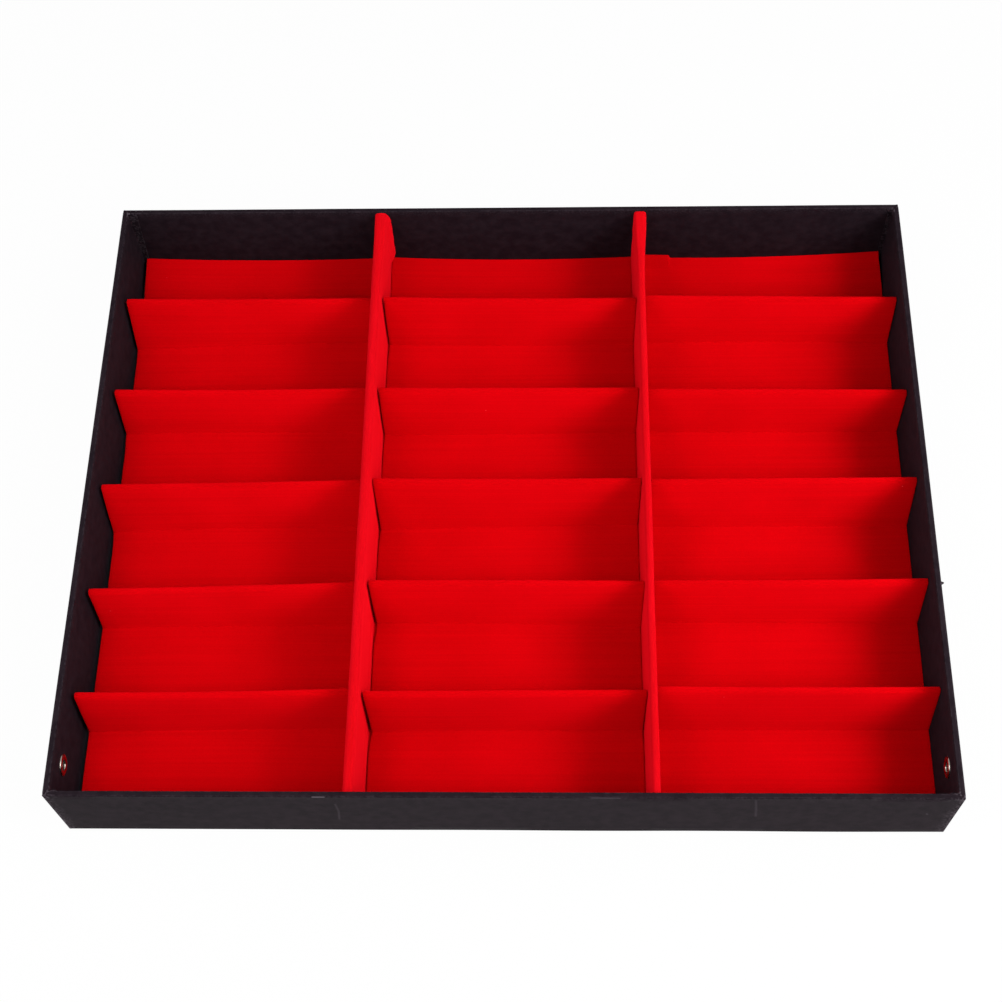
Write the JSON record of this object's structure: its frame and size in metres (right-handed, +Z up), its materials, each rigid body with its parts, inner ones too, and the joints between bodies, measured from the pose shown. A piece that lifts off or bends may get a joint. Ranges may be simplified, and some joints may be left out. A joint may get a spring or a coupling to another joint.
{
  "type": "eyeglasses display case",
  "caption": "Shallow open display tray for folded glasses, wrapped in black leatherette paper, with padded red dividers and red flocked sheets folded into rows of compartments.",
  "frame": {"origin": "middle of the underside, on the surface that the case stands on", "axes": "+X to the right along the long side, +Y from the front wall (with the eyelets near it) to the back wall, +Z up out of the open tray"},
  "size_m": [0.4768, 0.375, 0.058],
  "materials": {
    "greyboard": "matte",
    "kraft_tape": "matte",
    "black_leatherette_paper": "matte, fine leather grain",
    "black_lining_paper": "matte",
    "foam": "soft foam",
    "red_flocked_cloth": "short flocked pile",
    "red_flock": "short flocked pile",
    "insert_card": "matte",
    "nickel_plate": "polished nickel plate"
  },
  "bodies": {
    "tray": {"base_sheet": "black_lining_paper", "bottom_board": "greyboard", "front_wall_board": "greyboard", "back_wall_board": "greyboard", "left_wall_board": "greyboard", "right_wall_board": "greyboard", "corner_stays": "kraft_tape", "outer_wrap": "black_leatherette_paper", "floor_liner": "black_lining_paper", "left_divider_core": "greyboard", "right_divider_core": "greyboard", "left_divider_padding": "foam", "right_divider_padding": "foam", "left_divider_sleeve": "red_flocked_cloth", "right_divider_sleeve": "red_flocked_cloth", "left_eyelet": "nickel_plate", "right_eyelet": "nickel_plate", "left_eyelet_washer": "nickel_plate", "right_eyelet_washer": "nickel_plate"},
    "left_insert": {"left_insert_card": "insert_card", "left_insert_flock": "red_flock"},
    "centre_insert": {"centre_insert_card": "insert_card", "centre_insert_flock": "red_flock"},
    "right_insert": {"right_insert_card": "insert_card", "right_insert_flock": "red_flock"}
  },
  "joints": [
    {"name": "left_insert_lift", "type": "slide", "parent": "tray", "child": "left_insert", "axis": [0, 0, 1], "range_m": [0, 0.07]},
    {"name": "centre_insert_lift", "type": "slide", "parent": "tray", "child": "centre_insert", "axis": [0, 0, 1], "range_m": [0, 0.07]},
    {"name": "right_insert_lift", "type": "slide", "parent": "tray", "child": "right_insert", "axis": [0, 0, 1], "range_m": [0, 0.07]}
  ]
}
